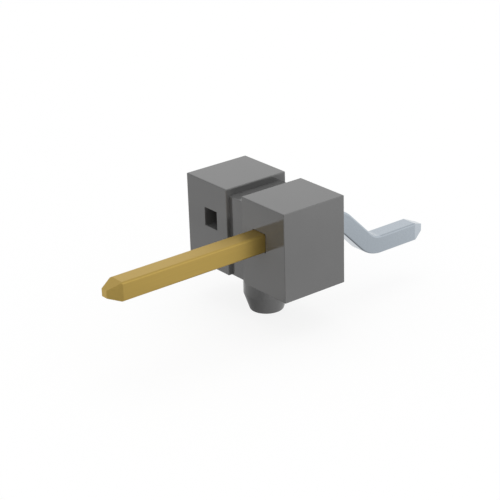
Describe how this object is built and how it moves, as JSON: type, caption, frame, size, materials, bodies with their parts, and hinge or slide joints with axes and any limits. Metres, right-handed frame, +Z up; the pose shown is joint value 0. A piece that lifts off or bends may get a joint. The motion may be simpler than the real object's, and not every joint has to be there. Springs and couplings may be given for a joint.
{
  "type": "surface-mount pin header",
  "caption": "Horizontal surface-mount pin header: a moulded housing with a break-off groove and a locating peg, and a square-wire contact with a mating post and a bent solder tail.",
  "frame": {"origin": "on the locating peg's axis at the board's surface, under the middle of the housing", "axes": "+X along the row of positions, towards the loaded one; +Y from the mating post towards the solder tail; +Z up from the board"},
  "size_m": [0.005, 0.013, 0.0044],
  "materials": {
    "housing_plastic": "dark grey moulded plastic with a low, even gloss",
    "plated_contact": "copper alloy wire, gold on the mating post and matte tin on the solder tail"
  },
  "bodies": {
    "root": {"housing": "housing_plastic", "contact_pin": "plated_contact"}
  },
  "joints": []
}
